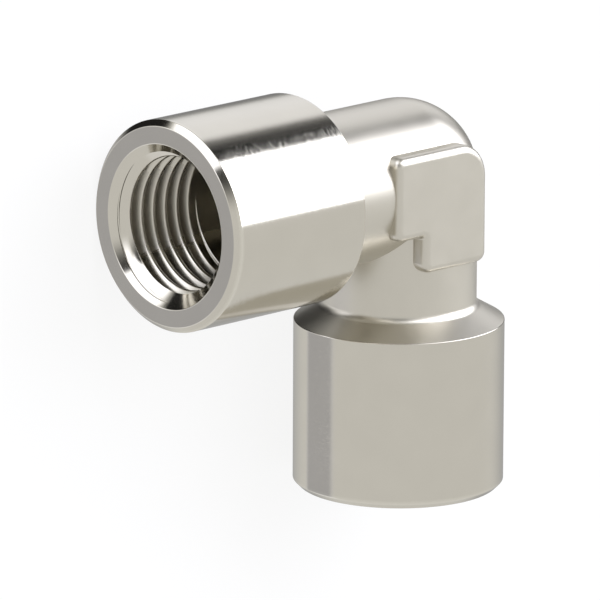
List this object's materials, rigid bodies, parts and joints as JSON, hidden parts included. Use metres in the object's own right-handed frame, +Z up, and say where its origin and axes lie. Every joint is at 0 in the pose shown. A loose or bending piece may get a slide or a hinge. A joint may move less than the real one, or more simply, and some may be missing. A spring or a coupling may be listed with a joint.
{
  "type": "elbow fitting",
  "caption": "Right-angle pipe elbow with a female threaded port at each end, round stepped sockets, a ball-shaped bend and flat spanner pads on its sides.",
  "frame": {"origin": "centre of the front port's mouth", "axes": "the fitting lies on its side: -Y out of the front port's mouth, -X out of the side port's mouth, +Z up and square to the spanner pads; it rests at z = -9 mm on both sockets"},
  "size_m": [0.036, 0.036, 0.018],
  "materials": {
    "nickel_plated_brass": "bright nickel plating: fine turning marks on the sockets, smooth on the forged bend and pads"
  },
  "bodies": {
    "root": {"elbow_body": "nickel_plated_brass"}
  },
  "joints": []
}
